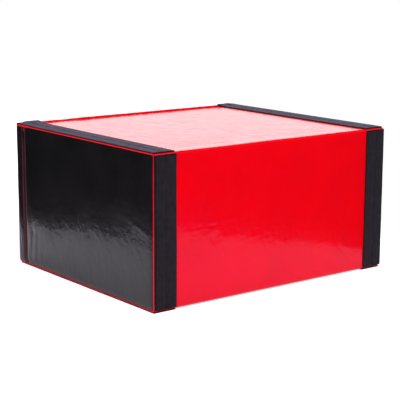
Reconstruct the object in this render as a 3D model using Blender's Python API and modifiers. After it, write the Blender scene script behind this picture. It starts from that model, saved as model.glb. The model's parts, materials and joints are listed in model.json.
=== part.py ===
"""Foam parkour block with a zipped cover and loop tapes along both ends.

Metres, +Z up. The long front face looks along -Y and the zipped end along -X. The origin lies on
the floor under the middle of the block.
"""

import math

import bmesh
import bpy
from mathutils import Vector

# The covered block, without its tapes
BLOCK_LENGTH = 1.200
BLOCK_DEPTH = 1.000
BLOCK_HEIGHT = 0.600

# Gap left between pieces that lie against each other
FIT = 0.0003

# Cover: coated fabric, its folded long edges, and how far each face swells between the tapes
FABRIC = 0.001
FOLD_RADIUS = 0.010
TOP_CROWN = 0.003
SIDE_CROWN = 0.003
END_CROWN = 0.003
CROWN_MARGIN = 0.010
FOLD_SEGMENTS = 4
WRAP_CUTS = (8, 8, 6)
PANEL_CUTS = 8
CORNER_SEGMENTS = 3

# Piping sewn round both ends
PIPING_RADIUS = 0.0025

# Loop tapes, two side by side along each edge of both ends
TAPE_WIDTH = 0.050
TAPE_THICKNESS = 0.0038
TAPE_GAP = 0.0005
TAPE_FROM_END = 0.003
FLAT_TAPE_MARGIN = 0.008
UPRIGHT_TAPE_MARGIN = 0.007
REAR_TAPE_RISE = 0.006

# Foam core, glued up from slabs
SLAB_NAMES = ("foam_slab_lower", "foam_slab_upper")

# Zip opening in the left end, between the folded edges of two facing strips
ZIP_FROM_REAR = 0.0535
ZIP_OPENING = 0.030
FACING_SHOWS = 0.0025
FACING_WIDTH = 0.016
FACING_THICKNESS = 0.001
ZIP_TAPE_WIDTH = 0.0215
ZIP_TAPE_THICKNESS = 0.0008
ZIP_TAPE_SPLIT = 0.001

# Rows of teeth
CHAIN_WIDTH = 0.011
CHAIN_THICKNESS = 0.0022
RAIL_WIDTH = 0.0031
TOOTH_PITCH = 0.004
TOOTH_HEIGHT = 0.0016
TOOTH_OVERLAP = 0.0014
TOOTH_STEP = 0.0002
BOTTOM_STOP_HEIGHT = 0.007
BOTTOM_STOP_FROM_END = 0.028
TOP_STOP_HEIGHT = 0.003
TOP_STOP_WIDTH = 0.0035
TOP_STOP_FROM_END = 0.0005

# Slider and its pull
SLIDER_LENGTH = 0.016
SLIDER_PLATE = 0.0014
SLIDER_WALL = 0.0014
BACK_PLATE = 0.0012
BRIDGE_WIDTH = 0.003
BRIDGE_THICKNESS = 0.0012
BRIDGE_SPAN = 0.0080
BAR_THICKNESS = 0.0016
BAR_ABOVE_PLATE = 0.0014
PULL_LENGTH = 0.036
PULL_EYE_WIDTH = 0.0040
PULL_EYE_LENGTH = 0.0062
PULL_ARM = 0.0017
PULL_TIP_WIDTH = 0.0100
EDGE_BREAK = 0.0004

# Levels and planes that follow from the sizes above
BASE_Z = TAPE_THICKNESS + FIT
TOP_Z = BASE_Z + BLOCK_HEIGHT
MID_Z = (BASE_Z + TOP_Z) / 2
LEFT_X = -BLOCK_LENGTH / 2
PIPING_CHORD = math.sqrt(PIPING_RADIUS**2 - (PIPING_RADIUS - FABRIC) ** 2)
SEAM_SETBACK = PIPING_RADIUS + PIPING_CHORD + FIT
CORE_INSET = FABRIC + FIT
TAPE_BAND = TAPE_FROM_END + 2 * TAPE_WIDTH + TAPE_GAP

# Zip layers, as depths behind the outer plane of the left end
FACING_DEPTH = FABRIC + FIT
ZIP_TAPE_DEPTH = FACING_DEPTH + FACING_THICKNESS + FIT
ZIP_BACK = ZIP_TAPE_DEPTH + ZIP_TAPE_THICKNESS
CHAIN_DEPTH = ZIP_TAPE_DEPTH - FIT - CHAIN_THICKNESS
PLATE_DEPTH = CHAIN_DEPTH - FIT - SLIDER_PLATE
BACK_PLATE_DEPTH = ZIP_BACK + FIT
PULL_AXIS_DEPTH = PLATE_DEPTH - BAR_ABOVE_PLATE
ZIP_Y = BLOCK_DEPTH / 2 - ZIP_FROM_REAR
SLIDER_HALF = CHAIN_WIDTH / 2 + FIT + SLIDER_WALL

# Heights along the zip
STRIP_END = 2 * PIPING_RADIUS + FIT
STRIP_LOW = BASE_Z + STRIP_END
STRIP_HIGH = TOP_Z - STRIP_END
STOP_LOW = STRIP_LOW + BOTTOM_STOP_FROM_END
CHAIN_LOW = STOP_LOW + BOTTOM_STOP_HEIGHT + FIT
CHAIN_HIGH = STRIP_HIGH - TOP_STOP_FROM_END - TOP_STOP_HEIGHT - FIT
SLIDER_Z = CHAIN_HIGH - SLIDER_LENGTH / 2

RED = (0.80, 0.004, 0.012)
BLACK = (0.012, 0.012, 0.014)
CHARCOAL = (0.022, 0.020, 0.027)
FOAM_GREY = (0.30, 0.31, 0.33)
GUNMETAL = (0.10, 0.10, 0.11)


def foam_chamfer():
    """Bevel on the core that leaves room for the piping, also where it turns a corner."""
    turn_depth = FOLD_RADIUS - (FOLD_RADIUS - PIPING_RADIUS) / math.sqrt(2)
    along_edge = math.sqrt(2) * (PIPING_RADIUS * (1 + math.sqrt(2)) + FIT)
    at_corner = PIPING_RADIUS + turn_depth + 2 * PIPING_RADIUS / math.sqrt(3) + 2 * FIT
    return max(along_edge - 2 * CORE_INSET, at_corner - 2 * CORE_INSET, FOLD_RADIUS)


def clear_scene():
    for thing in list(bpy.data.objects):
        bpy.data.objects.remove(thing, do_unlink=True)


def new_collection(name):
    collection = bpy.data.collections.new(name)
    bpy.context.scene.collection.children.link(collection)
    return collection


def add_object(name, data, collection, location=(0.0, 0.0, 0.0), parent=None):
    thing = bpy.data.objects.new(name, data)
    thing.location = location
    thing.parent = parent
    collection.objects.link(thing)
    return thing


def add_empty(name, location, parent=None):
    """An empty that carries a moving piece and marks its joint's axis."""
    return add_object(name, None, block, location, parent)


def finish(thing, colour, roughness, metallic=0.0):
    """Gives one object its own material."""
    material = bpy.data.materials.new(thing.name + "_finish")
    material.use_nodes = True
    shader = material.node_tree.nodes["Principled BSDF"]
    shader.inputs["Base Color"].default_value = (*colour, 1.0)
    shader.inputs["Roughness"].default_value = roughness
    shader.inputs["Metallic"].default_value = metallic
    thing.data.materials.append(material)


def box_mesh(name, size):
    """A box round its own centre."""
    bm = bmesh.new()
    bmesh.ops.create_cube(bm, size=1.0)
    bmesh.ops.scale(bm, vec=Vector(size), verts=bm.verts)
    mesh = bpy.data.meshes.new(name)
    bm.to_mesh(mesh)
    bm.free()
    return mesh


def add_box(name, low, high, collection=None, parent=None):
    """A box between two corners, placed by its centre."""
    low, high = Vector(low), Vector(high)
    mesh = box_mesh(name, high - low)
    return add_object(name, mesh, collection or block, (low + high) / 2, parent)


def add_bevel(thing, width, segments=1):
    bevel = thing.modifiers.new("edge_break", "BEVEL")
    bevel.width = width
    bevel.segments = segments
    bevel.limit_method = "ANGLE"


def add_boolean(thing, other, operation):
    boolean = thing.modifiers.new(operation.lower(), "BOOLEAN")
    boolean.object = other
    boolean.operation = operation
    boolean.solver = "EXACT"


def hide_cutter(thing):
    thing.hide_render = True
    thing.display_type = "WIRE"


def corner_arc(centre, radius, start, count):
    """Points of a quarter turn about a centre, from a start angle."""
    return [
        (
            centre[0] + radius * math.cos(start + math.pi / 2 * step / count),
            centre[1] + radius * math.sin(start + math.pi / 2 * step / count),
        )
        for step in range(count + 1)
    ]


def rounded_rectangle(width, height, radius, count):
    """A rectangle with round corners about the origin, turning anticlockwise."""
    points = []
    for turn, (side, up) in enumerate(((1, 1), (-1, 1), (-1, -1), (1, -1))):
        centre = (side * (width / 2 - radius), up * (height / 2 - radius))
        points += corner_arc(centre, radius, turn * math.pi / 2, count)
    return points


def add_spline(curve, points):
    spline = curve.splines.new("POLY")
    spline.points.add(len(points) - 1)
    for point, (x, y) in zip(spline.points, points):
        point.co = (x, y, 0.0, 1.0)
    spline.use_cyclic_u = True


def flat_curve(name, outlines, thickness):
    """A plate cut to flat outlines: the first is its edge, and any other a hole."""
    curve = bpy.data.curves.new(name, "CURVE")
    curve.dimensions = "2D"
    curve.fill_mode = "BOTH"
    curve.extrude = thickness / 2
    for points in outlines:
        add_spline(curve, points)
    return curve


def mesh_of(thing, name):
    """The evaluated shape of an object as a mesh with its caps joined to its sides."""
    bpy.context.view_layer.update()
    depsgraph = bpy.context.evaluated_depsgraph_get()
    mesh = bpy.data.meshes.new_from_object(thing.evaluated_get(depsgraph))
    mesh.name = name
    bm = bmesh.new()
    bm.from_mesh(mesh)
    bmesh.ops.remove_doubles(bm, verts=bm.verts, dist=1e-6)
    bm.to_mesh(mesh)
    bm.free()
    return mesh


def add_plate(name, outlines, thickness, location, rotation, parent=None, collection=None):
    """A plate turned into a mesh, so that it can be bevelled and joined to others."""
    curve = flat_curve(name, outlines, thickness)
    guide = add_object(name + "_outline", curve, cutters)
    mesh = mesh_of(guide, name)
    bpy.data.objects.remove(guide, do_unlink=True)
    plate = add_object(name, mesh, collection or block, location, parent)
    plate.rotation_euler = rotation
    return plate


def swell(position, low, high):
    """Weight of a face's crown: none at either limit, one midway, level at all three."""
    if not low < position < high:
        return 0.0
    return math.sin(math.pi * (position - low) / (high - low)) ** 2


def cut_grid(bm, axis, low, high, count):
    """Cuts every face across one axis, at even steps from low to high."""
    normal = Vector([float(axis == k) for k in range(3)])
    for step in range(count + 1):
        bmesh.ops.bisect_plane(
            bm,
            geom=bm.verts[:] + bm.edges[:] + bm.faces[:],
            dist=1e-7,
            plane_co=normal * (low + (high - low) * step / count),
            plane_no=normal,
        )


def bevel_edges(bm, chosen, width, segments):
    bmesh.ops.bevel(
        bm,
        geom=chosen,
        offset=width,
        offset_type="OFFSET",
        affect="EDGES",
        segments=segments,
        profile=0.5,
    )


def runs_along(edge, axis):
    return abs((edge.verts[0].co - edge.verts[1].co).normalized()[axis]) > 0.99


def make_wrap():
    """One length of fabric round the top, front, base and rear, open at both ends."""
    length = BLOCK_LENGTH - 2 * SEAM_SETBACK
    bm = bmesh.new()
    bmesh.ops.create_cube(bm, size=1.0)
    bmesh.ops.scale(bm, vec=(length, BLOCK_DEPTH, BLOCK_HEIGHT), verts=bm.verts)
    ends = [face for face in bm.faces if abs(face.normal.x) > 0.99]
    bmesh.ops.delete(bm, geom=ends, context="FACES_ONLY")
    folds = [edge for edge in bm.edges if runs_along(edge, 0)]
    bevel_edges(bm, folds, FOLD_RADIUS, FOLD_SEGMENTS)
    limit_x = BLOCK_LENGTH / 2 - TAPE_BAND - CROWN_MARGIN
    limit_y = BLOCK_DEPTH / 2 - FOLD_RADIUS
    limit_z = BLOCK_HEIGHT / 2 - FOLD_RADIUS
    for axis, limit in enumerate((limit_x, limit_y, limit_z)):
        cut_grid(bm, axis, -limit, limit, WRAP_CUTS[axis])
    for vert in bm.verts:
        along = swell(vert.co.x, -limit_x, limit_x)
        if vert.co.z > BLOCK_HEIGHT / 2 - FIT:
            vert.co.z += TOP_CROWN * along * swell(vert.co.y, -limit_y, limit_y)
        elif abs(vert.co.y) > BLOCK_DEPTH / 2 - FIT:
            outward = math.copysign(1.0, vert.co.y)
            vert.co.y += outward * SIDE_CROWN * along * swell(vert.co.z, -limit_z, limit_z)
    mesh = bpy.data.meshes.new("body_wrap")
    bm.to_mesh(mesh)
    bm.free()
    mesh.shade_smooth()
    mesh.set_sharp_from_angle(angle=math.radians(30))
    wrap = add_object("body_wrap", mesh, block, (0.0, 0.0, MID_Z))
    wall = wrap.modifiers.new("fabric", "SOLIDIFY")
    wall.thickness = FABRIC
    wall.offset = -1.0
    wall.use_even_offset = True
    finish(wrap, RED, 0.28)


def panel_blank(low_y, high_y):
    """A flat end panel between two places along the end, round where it meets the block's folds."""
    edge = BLOCK_DEPTH / 2 - SEAM_SETBACK
    bm = bmesh.new()
    bmesh.ops.create_cube(bm, size=1.0)
    size = (FABRIC, high_y - low_y, BLOCK_HEIGHT - 2 * SEAM_SETBACK)
    bmesh.ops.scale(bm, vec=size, verts=bm.verts)
    bmesh.ops.translate(bm, vec=(0.0, (low_y + high_y) / 2, 0.0), verts=bm.verts)
    corners = [
        side
        for side in bm.edges
        if runs_along(side, 0) and abs(abs(side.verts[0].co.y) - edge) < FIT
    ]
    bevel_edges(bm, corners, FOLD_RADIUS - SEAM_SETBACK, CORNER_SEGMENTS)
    return bm


def place_panel(name, bm, end):
    mesh = bpy.data.meshes.new(name)
    bm.to_mesh(mesh)
    bm.free()
    place = end * (BLOCK_LENGTH / 2 - FABRIC / 2)
    finish(add_object(name, mesh, block, (place, 0.0, MID_Z)), BLACK, 0.25)


def make_panel(name, end, low_y, high_y):
    """A panel that swells over the foam behind it."""
    bm = panel_blank(low_y, high_y)
    limit_z = BLOCK_HEIGHT / 2 - SEAM_SETBACK
    cut_grid(bm, 1, low_y, high_y, PANEL_CUTS)
    cut_grid(bm, 2, -limit_z, limit_z, PANEL_CUTS)
    for vert in bm.verts:
        rise = swell(vert.co.y, low_y, high_y) * swell(vert.co.z, -limit_z, limit_z)
        vert.co.x += end * END_CROWN * rise
    place_panel(name, bm, end)


def make_panels():
    """The zipped end's main panel and narrow border, and the far end's single panel."""
    edge = BLOCK_DEPTH / 2 - SEAM_SETBACK
    make_panel("left_end_panel", -1, -edge, ZIP_Y - ZIP_OPENING / 2)
    place_panel("left_end_border", panel_blank(ZIP_Y + ZIP_OPENING / 2, edge), -1)
    make_panel("right_end_panel", 1, -edge, edge)


def make_piping(name, side):
    """A round cord in fabric, following the edge of one end as a closed loop."""
    curve = bpy.data.curves.new(name, "CURVE")
    curve.dimensions = "3D"
    curve.fill_mode = "FULL"
    curve.bevel_depth = PIPING_RADIUS
    curve.bevel_resolution = 2
    width = BLOCK_DEPTH - 2 * PIPING_RADIUS
    height = BLOCK_HEIGHT - 2 * PIPING_RADIUS
    add_spline(curve, rounded_rectangle(width, height, FOLD_RADIUS - PIPING_RADIUS, 4))
    place = side * (BLOCK_LENGTH / 2 - PIPING_RADIUS)
    piping = add_object(name, curve, block, (place, 0.0, MID_Z))
    piping.rotation_euler = (math.pi / 2, 0.0, math.pi / 2)
    finish(piping, RED, 0.30)


def make_slab(index, channels):
    """One slab of the core, bevelled where it meets the cover's edges and cut back at the zip."""
    name = SLAB_NAMES[index]
    last = len(SLAB_NAMES) - 1
    core_low = BASE_Z + CORE_INSET
    thickness = (BLOCK_HEIGHT - 2 * CORE_INSET - last * FIT) / len(SLAB_NAMES)
    low = core_low + index * (thickness + FIT)
    length = BLOCK_LENGTH - 2 * CORE_INSET
    depth = BLOCK_DEPTH - 2 * CORE_INSET
    bm = bmesh.new()
    bmesh.ops.create_cube(bm, size=1.0)
    bmesh.ops.scale(bm, vec=(length, depth, thickness), verts=bm.verts)
    chosen = [edge for edge in bm.edges if runs_along(edge, 2)]
    for level, wanted in ((-1, index == 0), (1, index == last)):
        if wanted:
            chosen += [
                edge
                for edge in bm.edges
                if not runs_along(edge, 2) and edge.verts[0].co.z * level > 0
            ]
    bevel_edges(bm, chosen, foam_chamfer(), 1)
    mesh = bpy.data.meshes.new(name)
    bm.to_mesh(mesh)
    bm.free()
    slab = add_object(name, mesh, block, (0.0, 0.0, low + thickness / 2))
    for channel in channels:
        add_boolean(slab, channel, "DIFFERENCE")
    finish(slab, FOAM_GREY, 0.90)


def make_channels():
    """Cutters for the room that the zip and its slider press into the foam."""
    widths = (
        ZIP_OPENING / 2 - FACING_SHOWS + FACING_WIDTH + 2 * FIT,
        SLIDER_HALF + 2 * FIT,
    )
    depths = (ZIP_BACK + FIT, BACK_PLATE_DEPTH + BACK_PLATE + FIT)
    channels = []
    for name, half, depth in zip(("zip_channel", "slider_channel"), widths, depths):
        low = (LEFT_X - FABRIC, ZIP_Y - half, BASE_Z - FABRIC)
        high = (LEFT_X + depth, ZIP_Y + half, TOP_Z + FABRIC)
        cutter = add_box(name, low, high, cutters)
        hide_cutter(cutter)
        channels.append(cutter)
    return channels


def make_tapes():
    """Two loop tapes along each edge of each end: top, front, base and rear."""
    flat_size = (TAPE_WIDTH, BLOCK_DEPTH - 2 * FLAT_TAPE_MARGIN, TAPE_THICKNESS)
    front_height = BLOCK_HEIGHT - 2 * UPRIGHT_TAPE_MARGIN
    rear_height = BLOCK_HEIGHT - UPRIGHT_TAPE_MARGIN + REAR_TAPE_RISE
    front_size = (TAPE_WIDTH, TAPE_THICKNESS, front_height)
    rear_size = (TAPE_WIDTH, TAPE_THICKNESS, rear_height)
    lift = FIT + TAPE_THICKNESS / 2
    foot = BASE_Z + UPRIGHT_TAPE_MARGIN
    faces = {
        "top": (flat_size, 0.0, TOP_Z + lift),
        "front": (front_size, -BLOCK_DEPTH / 2 - lift, foot + front_height / 2),
        "base": (flat_size, 0.0, BASE_Z - lift),
        "rear": (rear_size, BLOCK_DEPTH / 2 + lift, foot + rear_height / 2),
    }
    for end, side in (("left", -1), ("right", 1)):
        for face, (size, y, z) in faces.items():
            for lane, word in enumerate(("outer", "inner")):
                inward = TAPE_FROM_END + (lane + 0.5) * TAPE_WIDTH + lane * TAPE_GAP
                name = f"{end}_{face}_tape_{word}"
                place = (side * (BLOCK_LENGTH / 2 - inward), y, z)
                tape = add_object(name, box_mesh(name, size), block, place)
                finish(tape, CHARCOAL, 0.95)


def add_strip(name, side, inner, width, depth, thickness):
    """An upright strip beside the zip, from an inner edge outwards, at a depth behind the end."""
    edges = sorted((ZIP_Y + side * inner, ZIP_Y + side * (inner + width)))
    low = (LEFT_X + depth, edges[0], STRIP_LOW)
    high = (LEFT_X + depth + thickness, edges[1], STRIP_HIGH)
    return add_box(name, low, high)


def make_zip_strips():
    """Facing strips and woven tapes, one of each on either side of the opening."""
    fold = ZIP_OPENING / 2 - FACING_SHOWS
    for word, side in (("front", -1), ("rear", 1)):
        facing = add_strip(
            f"zip_facing_{word}", side, fold, FACING_WIDTH, FACING_DEPTH, FACING_THICKNESS
        )
        finish(facing, RED, 0.60)
        tape = add_strip(
            f"zip_tape_{word}",
            side,
            ZIP_TAPE_SPLIT / 2,
            ZIP_TAPE_WIDTH,
            ZIP_TAPE_DEPTH,
            ZIP_TAPE_THICKNESS,
        )
        finish(tape, BLACK, 0.60)


def make_teeth(word, side, first):
    """One row: a rail on its tape, with teeth that reach past the middle of the zip."""
    outer = LEFT_X + CHAIN_DEPTH
    inner = outer + CHAIN_THICKNESS
    half = CHAIN_WIDTH / 2
    edges = sorted((ZIP_Y + side * half, ZIP_Y + side * (half - RAIL_WIDTH)))
    rail = add_box(f"zip_teeth_{word}", (outer, edges[0], CHAIN_LOW), (inner, edges[1], CHAIN_HIGH))
    edges = sorted((ZIP_Y + side * (half - RAIL_WIDTH / 2), ZIP_Y - side * TOOTH_OVERLAP))
    foot = CHAIN_LOW + first
    low = (outer + TOOTH_STEP, edges[0], foot)
    high = (inner - TOOTH_STEP, edges[1], foot + TOOTH_HEIGHT)
    tooth = add_box(f"tooth_{word}", low, high, cutters)
    array = tooth.modifiers.new("row", "ARRAY")
    array.use_relative_offset = False
    array.use_constant_offset = True
    array.constant_offset_displace = (0.0, 0.0, TOOTH_PITCH)
    array.count = int((CHAIN_HIGH - foot - TOOTH_HEIGHT) / TOOTH_PITCH) + 1
    hide_cutter(tooth)
    add_boolean(rail, tooth, "UNION")
    finish(rail, BLACK, 0.45)


def make_chain():
    """The two rows of teeth, half a pitch apart, and the stops at their ends."""
    gap = (TOOTH_PITCH / 2 - TOOTH_HEIGHT) / 2
    make_teeth("front", -1, gap)
    make_teeth("rear", 1, gap + TOOTH_PITCH / 2)
    outer = LEFT_X + CHAIN_DEPTH
    inner = outer + CHAIN_THICKNESS
    half = CHAIN_WIDTH / 2
    low = (outer, ZIP_Y - half, STOP_LOW)
    high = (inner, ZIP_Y + half, STOP_LOW + BOTTOM_STOP_HEIGHT)
    stop = add_box("zip_bottom_stop", low, high)
    add_bevel(stop, EDGE_BREAK, 2)
    finish(stop, BLACK, 0.40)
    for word, side in (("front", -1), ("rear", 1)):
        edges = sorted((ZIP_Y + side * half, ZIP_Y + side * (half - TOP_STOP_WIDTH)))
        low = (outer, edges[0], CHAIN_HIGH + FIT)
        high = (inner, edges[1], CHAIN_HIGH + FIT + TOP_STOP_HEIGHT)
        stop = add_box(f"zip_top_stop_{word}", low, high)
        add_bevel(stop, EDGE_BREAK, 2)
        finish(stop, GUNMETAL, 0.35, 1.0)


def make_slider():
    """Outer plate with side walls and a bridge, and the inner plate behind the tapes."""
    carriage = add_empty("slider_axis", (LEFT_X + CHAIN_DEPTH, ZIP_Y, SLIDER_Z))
    # Cross-section of the outer plate and its walls: across the zip, then outwards.
    wall_drop = CHAIN_THICKNESS
    plate_rise = FIT + SLIDER_PLATE
    inner_half = SLIDER_HALF - SLIDER_WALL
    section = [
        (-SLIDER_HALF, -wall_drop),
        (-inner_half, -wall_drop),
        (-inner_half, FIT),
        (inner_half, FIT),
        (inner_half, -wall_drop),
        (SLIDER_HALF, -wall_drop),
        (SLIDER_HALF, plate_rise),
        (-SLIDER_HALF, plate_rise),
    ]
    # Drawn flat, then turned so that its own X runs along Y and its own Y along -X.
    turned = (0.0, 0.0, math.pi / 2)
    slider = add_plate("zip_slider", [section], SLIDER_LENGTH, (0, 0, 0), turned, carriage)
    add_bevel(slider, EDGE_BREAK, 1)
    bridge = make_bridge(carriage, plate_rise)
    add_boolean(slider, bridge, "UNION")
    finish(slider, GUNMETAL, 0.30, 1.0)

    half = SLIDER_LENGTH / 2
    back_x = BACK_PLATE_DEPTH - CHAIN_DEPTH
    low = (back_x, -SLIDER_HALF, -half)
    high = (back_x + BACK_PLATE, SLIDER_HALF, half)
    back = add_box("zip_slider_back", low, high, parent=carriage)
    add_bevel(back, EDGE_BREAK, 2)
    finish(back, GUNMETAL, 0.35, 1.0)
    return carriage


def make_bridge(carriage, plate_rise):
    """The arch that holds the pull's bar, drawn from the side and sunk into the plate."""
    half = BRIDGE_SPAN / 2
    root = plate_rise - SLIDER_PLATE / 2
    window = half - BRIDGE_THICKNESS
    ceiling = plate_rise + BAR_ABOVE_PLATE + BAR_THICKNESS / 2 + FIT
    crown = ceiling + BRIDGE_THICKNESS
    slope = BRIDGE_THICKNESS / 2
    outline = [
        (-half, root),
        (-window, root),
        (-window, ceiling),
        (window, ceiling),
        (window, root),
        (half, root),
        (half, crown - slope),
        (half - slope, crown),
        (slope - half, crown),
        (-half, crown - slope),
    ]
    # Drawn flat, then turned so that its own X runs up the zip and its own Y outwards.
    turned = (math.pi / 2, -math.pi / 2, 0.0)
    bridge = add_plate(
        "slider_bridge", [outline], BRIDGE_WIDTH, (0, 0, 0), turned, carriage, cutters
    )
    hide_cutter(bridge)
    return bridge


def make_pull(carriage):
    """A tab with an eye round the bridge, hanging from a bar on its hinge's axis."""
    drop = PULL_AXIS_DEPTH - CHAIN_DEPTH
    hinge = add_empty("pull_axis", (drop, 0.0, 0.0), carriage)
    bar = BAR_THICKNESS / 2
    eye = PULL_EYE_WIDTH / 2
    head = eye + PULL_ARM
    tip = PULL_TIP_WIDTH / 2
    eye_end = bar + PULL_EYE_LENGTH
    neck = eye_end + PULL_ARM
    outline = [(-head, bar), (-head, -neck), (-tip, -neck - 2 * PULL_ARM)]
    outline += [(-tip, -PULL_LENGTH + PULL_ARM), (-tip + PULL_ARM, -PULL_LENGTH)]
    outline += [(tip - PULL_ARM, -PULL_LENGTH), (tip, -PULL_LENGTH + PULL_ARM)]
    outline += [(tip, -neck - 2 * PULL_ARM), (head, -neck), (head, bar)]
    hole = [(-eye, -bar), (eye, -bar), (eye, -eye_end), (-eye, -eye_end)]
    turned = (math.pi / 2, 0.0, -math.pi / 2)
    pull = add_plate("zip_pull", [outline, hole], BAR_THICKNESS, (0, 0, 0), turned, hinge)
    add_bevel(pull, EDGE_BREAK, 1)
    finish(pull, BLACK, 0.35, 0.6)


clear_scene()
block = new_collection("parkour_block")
cutters = new_collection("cutters")
zip_channels = make_channels()
for number in range(len(SLAB_NAMES)):
    make_slab(number, zip_channels)
make_wrap()
make_panels()
make_piping("left_end_piping", -1)
make_piping("right_end_piping", 1)
make_tapes()
make_zip_strips()
make_chain()
make_pull(make_slider())
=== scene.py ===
"""Foam parkour block: cover, loop strips, zip and foam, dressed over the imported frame.

Metres, +Z up. The long red front looks along -Y, and the zipped black end along -X.
"""

import contextlib
import json
import math

import bmesh
import bpy
import numpy as np
from mathutils import Matrix, Vector, noise

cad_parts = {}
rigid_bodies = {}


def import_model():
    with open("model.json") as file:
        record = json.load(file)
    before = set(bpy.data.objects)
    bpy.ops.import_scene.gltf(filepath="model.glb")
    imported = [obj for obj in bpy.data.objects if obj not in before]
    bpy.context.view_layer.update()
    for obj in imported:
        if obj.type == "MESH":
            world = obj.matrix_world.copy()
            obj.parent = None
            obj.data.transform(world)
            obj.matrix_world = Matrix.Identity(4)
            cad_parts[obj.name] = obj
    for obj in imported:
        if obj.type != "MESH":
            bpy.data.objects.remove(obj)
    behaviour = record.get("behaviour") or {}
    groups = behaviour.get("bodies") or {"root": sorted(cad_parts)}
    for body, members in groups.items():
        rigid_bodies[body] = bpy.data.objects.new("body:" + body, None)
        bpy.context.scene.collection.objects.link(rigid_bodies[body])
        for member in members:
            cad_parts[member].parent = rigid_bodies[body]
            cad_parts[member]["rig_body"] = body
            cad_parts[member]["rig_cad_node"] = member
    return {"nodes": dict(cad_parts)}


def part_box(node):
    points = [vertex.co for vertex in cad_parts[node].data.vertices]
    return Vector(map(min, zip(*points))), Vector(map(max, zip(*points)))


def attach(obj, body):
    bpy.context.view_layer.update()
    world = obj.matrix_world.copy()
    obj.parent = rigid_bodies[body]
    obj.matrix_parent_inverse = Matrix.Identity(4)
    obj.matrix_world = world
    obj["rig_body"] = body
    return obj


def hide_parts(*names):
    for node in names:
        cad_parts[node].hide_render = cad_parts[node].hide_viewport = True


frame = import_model()

bl_info = {
    "name": "Parkour block",
    "version": (1, 0, 0),
    "blender": (4, 5, 0),
    "location": "3D View > Sidebar > Block",
    "description": "Dresses a packed parkour block with its cover, loop strips, zip and foam",
    "category": "Add Mesh",
}

# Planes and edges of the cover, read from the frame, which leaves GAP between its pieces
GAP = 0.0003
TOP_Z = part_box("left_top_tape_outer")[0].z - GAP
BASE_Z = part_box("left_base_tape_outer")[1].z + GAP
MID_Z = (TOP_Z + BASE_Z) / 2
FRONT_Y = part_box("left_front_tape_outer")[1].y + GAP
REAR_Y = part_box("left_rear_tape_outer")[0].y - GAP
END_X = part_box("right_end_piping")[1].x
BAND_X = abs(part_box("left_top_tape_inner")[1].x)

# Lines along which the wrap and the end panels are sewn to the piping
SEAM_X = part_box("body_wrap")[1].x
SEAM = END_X - SEAM_X
SEAM_Y = REAR_Y - SEAM
SEAM_LOW = BASE_Z + SEAM
SEAM_TOP = TOP_Z - SEAM

# Middle of the zip, the edges of the panels beside it, and the top of its bottom stop
ZIP_Y = (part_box("zip_slider")[0].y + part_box("zip_slider")[1].y) / 2
HEM_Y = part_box("left_end_panel")[1].y
BORDER_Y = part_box("left_end_border")[0].y
STOP_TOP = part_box("zip_bottom_stop")[1].z

# Distance within which a point counts as lying on a plane or an edge
TOUCH = 1e-4

# How far the foam stays inside its solids, so that the slack cover never touches it
FOAM_ROOM = 0.0016

# Length of the cloth simulations, in frames
FRAMES = 20

# Part of a loop tape's outer side that lies over the piping
OVERHANG = 0.003

# Axis along which the tapes of each face run, and the face and lane of each tape of an end
RUN_AXIS = {"top": 1, "front": 2, "base": 1, "rear": 2}
TAPES = [(face, lane) for face in RUN_AXIS for lane in ("outer", "inner")]


def number(name, description, default, **more):
    """A number that a user can change."""
    return bpy.props.FloatProperty(name=name, description=description, default=default, **more)


def metres(name, description, default):
    """A size in metres that a user can change."""
    return number(name, description, default, unit="LENGTH")


def angle(name, description, degrees):
    """An angle that a user can change."""
    return number(name, description, math.radians(degrees), subtype="ANGLE")


def colour(name, description, default):
    """A colour that a user can change, as sRGB in hex."""
    return bpy.props.StringProperty(name=name, description=description, default=default)


class CoverSizes(bpy.types.PropertyGroup):
    fabric: metres("Fabric", "Thickness of the coated fabric", 0.001)
    fold: metres("Fold", "Radius of the long folded edges", 0.010)
    mesh_step: metres("Mesh step", "Spacing of the wrap's mesh before it is smoothed", 0.0155)
    panel_step: metres("Panel step", "Spacing of an end panel's mesh before it is smoothed", 0.009)
    swell: metres("Swell", "Furthest that the foam pushes the fabric out of its flat plane", 0.003)
    top_share: number("Top share", "Part of the swell that the trodden top keeps", 0.25)
    ridge: metres("Ridge", "How far the trodden top lies below its front and side edges", 0.0012)
    welt_height: metres("Welt height", "How far the closing seam stands up along the rear edge", 0.0080)
    welt_reach: metres("Welt reach", "Distance over which the fabric rises to that seam", 0.030)
    margin: metres("Margin", "Width over which an end panel rolls back to its piping", 0.027)
    margin_depth: metres("Margin depth", "How far an end panel's edge lies behind its face", 0.0030)
    red: colour("Red", "Colour of the red coated fabric", "#E80006")
    black: colour("Black", "Colour of the black coated fabric", "#121113")


class StripSizes(bpy.types.PropertyGroup):
    tuft: metres("Tuft", "Spacing of the brushed loops' tufts", 0.0025)
    tuft_height: metres("Tuft height", "How far a tuft stands above or below the mean pile", 0.0004)
    fullness: number("Fullness", "Brushed pile's height as a share of the tape's", 1.25)
    shoulder: metres("Shoulder", "Width over which the pile reaches its full height", 0.002)
    seam_inset: metres("Seam inset", "Distance of a row of stitches from the strip's side", 0.0035)
    seam_depth: metres("Seam depth", "How far a row of stitches draws the pile down", 0.0008)
    selvedge: metres("Selvedge", "Height of the strip at its cut side", 0.0045)
    # Painted shade: the pile is painted darker over this width along the piping.
    shaded_side: metres("Shaded side", "Width of the side without loops that lies along the piping", 0.008)
    waver: metres("Waver", "How far a sewn strip wanders sideways", 0.0010)
    stitch: metres("Stitch", "Length of one stitch with its gap", 0.004)
    thread: metres("Thread", "Thickness of the sewing thread", 0.0009)
    pile: colour("Pile", "Colour of the loop pile", "#151318")


class ZipSizes(bpy.types.PropertyGroup):
    pitch: metres("Pitch", "Distance between two teeth of one row", 0.004)
    veer: metres("Veer", "How far the zip's lower end turns towards the front of the block", 0.012)


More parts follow.
